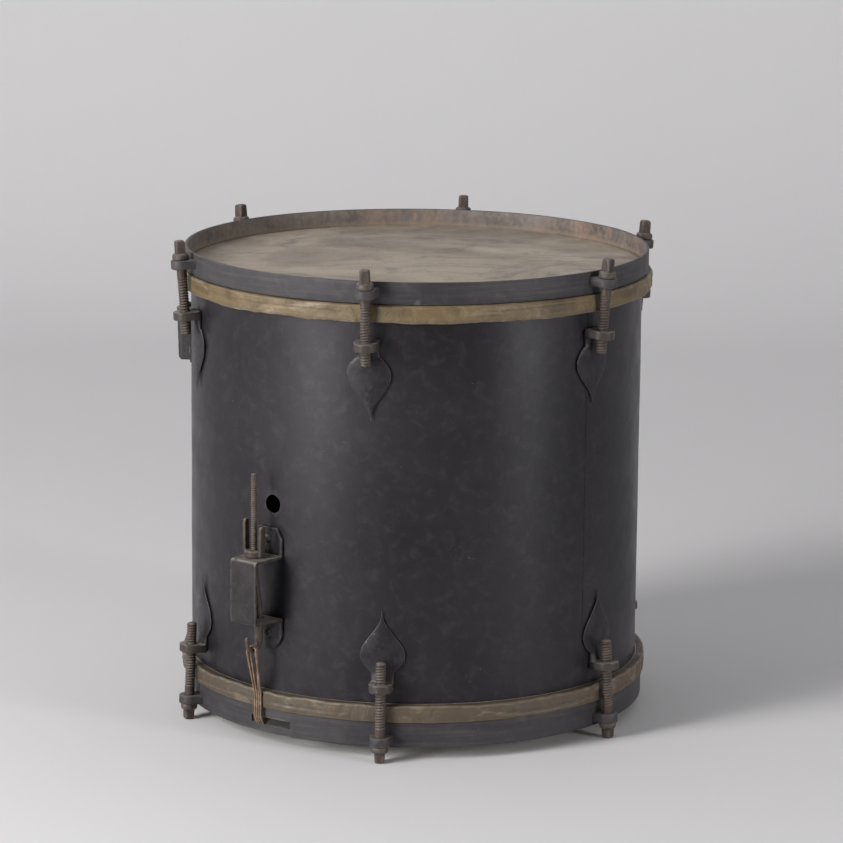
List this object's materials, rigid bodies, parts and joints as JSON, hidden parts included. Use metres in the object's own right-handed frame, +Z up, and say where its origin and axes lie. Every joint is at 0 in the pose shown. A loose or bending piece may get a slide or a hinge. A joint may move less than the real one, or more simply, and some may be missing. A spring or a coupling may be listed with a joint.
{
  "type": "military side drum",
  "caption": "Sheet-iron military side drum with flat iron counterhoops, long tension screws, leaf-shaped lugs and a gut snare drawn up by a wing nut.",
  "frame": {"origin": "on the drum's axis, at the level of the lowest corners of the lower screws' heads, on which the drum stands", "axes": "+Z up the drum's axis to the batter head; -Y is the side that faces the camera, so the strainer stands to the left of -Y"},
  "size_m": [0.4075, 0.4212, 0.4056],
  "materials": {
    "blackened_iron": "worn black, dull",
    "hoop_iron": "worn black, dull",
    "worn_iron": "rubbed and lightly rusted",
    "skin": "matte, soiled",
    "wood": "plain",
    "gut": "dry"
  },
  "bodies": {
    "drum": {"shell": "blackened_iron", "batter_head": "skin", "snare_head": "skin", "batter_flesh_hoop": "wood", "snare_flesh_hoop": "wood", "top_lug_1": "worn_iron", "top_lug_2": "worn_iron", "top_lug_3": "worn_iron", "top_lug_4": "worn_iron", "top_lug_5": "worn_iron", "top_lug_6": "worn_iron", "bottom_lug_1": "worn_iron", "bottom_lug_2": "worn_iron", "bottom_lug_3": "worn_iron", "bottom_lug_4": "worn_iron", "bottom_lug_5": "worn_iron", "bottom_lug_6": "worn_iron", "strainer_bracket": "worn_iron", "snare_butt": "worn_iron", "carry_bracket": "worn_iron", "strainer_rivet_1": "worn_iron", "strainer_rivet_2": "worn_iron", "snare_butt_rivet_1": "worn_iron", "snare_butt_rivet_2": "worn_iron", "carry_bracket_rivet_1": "worn_iron", "carry_bracket_rivet_2": "worn_iron", "carry_bracket_rivet_3": "worn_iron", "carry_bracket_rivet_4": "worn_iron", "gut_snare_1": "gut", "gut_snare_2": "gut"},
    "top_hoop": {"top_counterhoop": "hoop_iron"},
    "bottom_hoop": {"bottom_counterhoop": "hoop_iron"},
    "top_screw_1_body": {"top_screw_1": "worn_iron"},
    "top_screw_2_body": {"top_screw_2": "worn_iron"},
    "top_screw_3_body": {"top_screw_3": "worn_iron"},
    "top_screw_4_body": {"top_screw_4": "worn_iron"},
    "top_screw_5_body": {"top_screw_5": "worn_iron"},
    "top_screw_6_body": {"top_screw_6": "worn_iron"},
    "bottom_screw_1_body": {"bottom_screw_1": "worn_iron"},
    "bottom_screw_2_body": {"bottom_screw_2": "worn_iron"},
    "bottom_screw_3_body": {"bottom_screw_3": "worn_iron"},
    "bottom_screw_4_body": {"bottom_screw_4": "worn_iron"},
    "bottom_screw_5_body": {"bottom_screw_5": "worn_iron"},
    "bottom_screw_6_body": {"bottom_screw_6": "worn_iron"},
    "hook": {"strainer_hook": "worn_iron"},
    "nut": {"wing_nut": "worn_iron"}
  },
  "joints": [
    {"name": "top_hoop_lift", "type": "slide", "parent": "drum", "child": "top_hoop", "axis": [0, 0, 1], "range_m": [0, 0.005]},
    {"name": "bottom_hoop_drop", "type": "slide", "parent": "drum", "child": "bottom_hoop", "axis": [0, 0, -1], "range_m": [0, 0.0023]},
    {"name": "top_screw_1_turn", "type": "hinge", "parent": "top_hoop", "child": "top_screw_1_body", "pos_m": [-0.04091, -0.20108, 0.38546], "axis": [-0.0148, -0.073, 0.9972], "range_deg": [0, 788]},
    {"name": "top_screw_2_turn", "type": "hinge", "parent": "top_hoop", "child": "top_screw_2_body", "pos_m": [0.15369, -0.13597, 0.38546], "axis": [0.0558, -0.0493, 0.9972], "range_deg": [0, 788]},
    {"name": "top_screw_3_turn", "type": "hinge", "parent": "top_hoop", "child": "top_screw_3_body", "pos_m": [0.1946, 0.06511, 0.38546], "axis": [0.0706, 0.0236, 0.9972], "range_deg": [0, 788]},
    {"name": "top_screw_4_turn", "type": "hinge", "parent": "top_hoop", "child": "top_screw_4_body", "pos_m": [0.04091, 0.20108, 0.38546], "axis": [0.0148, 0.073, 0.9972], "range_deg": [0, 788]},
    {"name": "top_screw_5_turn", "type": "hinge", "parent": "top_hoop", "child": "top_screw_5_body", "pos_m": [-0.15369, 0.13597, 0.38546], "axis": [-0.0558, 0.0493, 0.9972], "range_deg": [0, 788]},
    {"name": "top_screw_6_turn", "type": "hinge", "parent": "top_hoop", "child": "top_screw_6_body", "pos_m": [-0.1946, -0.06511, 0.38546], "axis": [-0.0706, -0.0236, 0.9972], "range_deg": [0, 788]},
    {"name": "bottom_screw_1_turn", "type": "hinge", "parent": "bottom_hoop", "child": "bottom_screw_1_body", "pos_m": [-0.0266, -0.20206, 0.01756], "axis": [-0.0053, -0.04, -0.9992], "range_deg": [0, 365]},
    {"name": "bottom_screw_2_turn", "type": "hinge", "parent": "bottom_hoop", "child": "bottom_screw_2_body", "pos_m": [0.16168, -0.12407, 0.01756], "axis": [0.032, -0.0246, -0.9992], "range_deg": [0, 365]},
    {"name": "bottom_screw_3_turn", "type": "hinge", "parent": "bottom_hoop", "child": "bottom_screw_3_body", "pos_m": [0.18829, 0.07799, 0.01756], "axis": [0.0373, 0.0154, -0.9992], "range_deg": [0, 365]},
    {"name": "bottom_screw_4_turn", "type": "hinge", "parent": "bottom_hoop", "child": "bottom_screw_4_body", "pos_m": [0.0266, 0.20206, 0.01756], "axis": [0.0053, 0.04, -0.9992], "range_deg": [0, 365]},
    {"name": "bottom_screw_5_turn", "type": "hinge", "parent": "bottom_hoop", "child": "bottom_screw_5_body", "pos_m": [-0.16168, 0.12407, 0.01756], "axis": [-0.032, 0.0246, -0.9992], "range_deg": [0, 365]},
    {"name": "bottom_screw_6_turn", "type": "hinge", "parent": "bottom_hoop", "child": "bottom_screw_6_body", "pos_m": [-0.18829, -0.07799, 0.01756], "axis": [-0.0373, -0.0154, -0.9992], "range_deg": [0, 365]},
    {"name": "hook_lift", "type": "slide", "parent": "drum", "child": "hook", "axis": [0, 0, 1], "range_m": [-0.005, 0.003], "deforming": ["gut_snare_1", "gut_snare_2"]},
    {"name": "wing_nut_turn", "type": "hinge", "parent": "drum", "child": "nut", "pos_m": [-0.13035, -0.16146, 0.16091], "axis": [0, 0, 1], "range_deg": [-725, 1205]}
  ],
  "couplings": [
    {"joint": "top_screw_1_turn", "follows": "top_hoop_lift", "rad_per_m": 2731.8},
    {"joint": "top_screw_2_turn", "follows": "top_hoop_lift", "rad_per_m": 2731.8},
    {"joint": "top_screw_3_turn", "follows": "top_hoop_lift", "rad_per_m": 2731.8},
    {"joint": "top_screw_4_turn", "follows": "top_hoop_lift", "rad_per_m": 2731.8},
    {"joint": "top_screw_5_turn", "follows": "top_hoop_lift", "rad_per_m": 2731.8},
    {"joint": "top_screw_6_turn", "follows": "top_hoop_lift", "rad_per_m": 2731.8},
    {"joint": "bottom_screw_1_turn", "follows": "bottom_hoop_drop", "rad_per_m": 2731.8},
    {"joint": "bottom_screw_2_turn", "follows": "bottom_hoop_drop", "rad_per_m": 2731.8},
    {"joint": "bottom_screw_3_turn", "follows": "bottom_hoop_drop", "rad_per_m": 2731.8},
    {"joint": "bottom_screw_4_turn", "follows": "bottom_hoop_drop", "rad_per_m": 2731.8},
    {"joint": "bottom_screw_5_turn", "follows": "bottom_hoop_drop", "rad_per_m": 2731.8},
    {"joint": "bottom_screw_6_turn", "follows": "bottom_hoop_drop", "rad_per_m": 2731.8},
    {"joint": "wing_nut_turn", "follows": "hook_lift", "rad_per_m": -4188.8}
  ]
}
